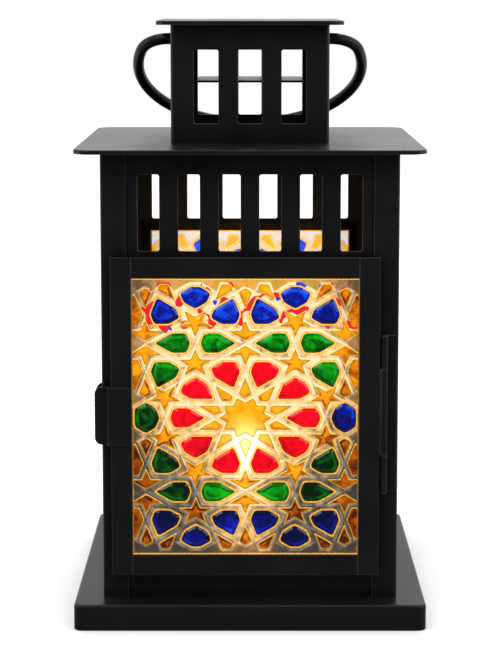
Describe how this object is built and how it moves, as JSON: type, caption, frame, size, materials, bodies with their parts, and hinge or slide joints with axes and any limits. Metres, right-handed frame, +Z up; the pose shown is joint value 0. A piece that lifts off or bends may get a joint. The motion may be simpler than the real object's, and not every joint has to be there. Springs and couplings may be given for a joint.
{
  "type": "ramadan fanous lantern",
  "caption": "Square black sheet-steel fanous lantern with jewelled geometric glass walls, a hinged front door with a spring latch, a vented chimney and a swinging carrying bail.",
  "frame": {"origin": "middle of the footprint, on the surface that the lantern stands on", "axes": "+Z up, the door faces -Y, +X to the right of someone facing the door"},
  "size_m": [0.163, 0.163, 0.2796],
  "materials": {
    "black_steel": "satin black powder coat",
    "plain_steel": "black oxide",
    "clear_glass": "clear float glass",
    "jewel_red": "faceted ruby glass with a gilt edge",
    "jewel_green": "faceted green glass with a gilt edge",
    "jewel_blue": "faceted cobalt glass with a gilt edge",
    "jewel_amber": "amber glass with a gilt edge",
    "candle_wax": "ivory wax",
    "flame_tip": "translucent lit tip"
  },
  "bodies": {
    "lantern": {"base_tray": "black_steel", "candle_body": "candle_wax", "candle_flame": "flame_tip", "cap_plate": "black_steel", "chimney": "black_steel", "front_left_post": "black_steel", "front_panel": "black_steel", "front_right_post": "black_steel", "heat_shield": "black_steel", "hinge_pin": "plain_steel", "hinge_post_leaf": "black_steel", "left_jewels_amber": "jewel_amber", "left_jewels_blue": "jewel_blue", "left_jewels_green": "jewel_green", "left_jewels_red": "jewel_red", "left_pane": "clear_glass", "left_pane_clips": "plain_steel", "left_panel": "black_steel", "rear_jewels_amber": "jewel_amber", "rear_jewels_blue": "jewel_blue", "rear_jewels_green": "jewel_green", "rear_jewels_red": "jewel_red", "rear_left_post": "black_steel", "rear_pane": "clear_glass", "rear_pane_clips": "plain_steel", "rear_panel": "black_steel", "rear_right_post": "black_steel", "right_jewels_amber": "jewel_amber", "right_jewels_blue": "jewel_blue", "right_jewels_green": "jewel_green", "right_jewels_red": "jewel_red", "right_pane": "clear_glass", "right_pane_clips": "plain_steel", "right_panel": "black_steel", "roof_plate": "black_steel"},
    "door": {"door_bottom_rail": "black_steel", "door_left_stile": "black_steel", "door_pane_clips": "plain_steel", "door_right_stile": "black_steel", "door_top_rail": "black_steel", "front_jewels_amber": "jewel_amber", "front_jewels_blue": "jewel_blue", "front_jewels_green": "jewel_green", "front_jewels_red": "jewel_red", "front_pane": "clear_glass", "hinge_door_leaf": "black_steel", "latch": "black_steel"},
    "bail": {"bail": "black_steel", "bail_push_nuts": "plain_steel"}
  },
  "joints": [
    {"name": "door_hinge", "type": "hinge", "parent": "lantern", "child": "door", "pos_m": [0.0617, -0.0714, 0.0995], "axis": [0, 0, 1], "range_deg": [0, 160]},
    {"name": "bail_pivot", "type": "hinge", "parent": "lantern", "child": "bail", "pos_m": [0, 0, 0.2704], "axis": [1, 0, 0], "range_deg": [0, 247]}
  ]
}
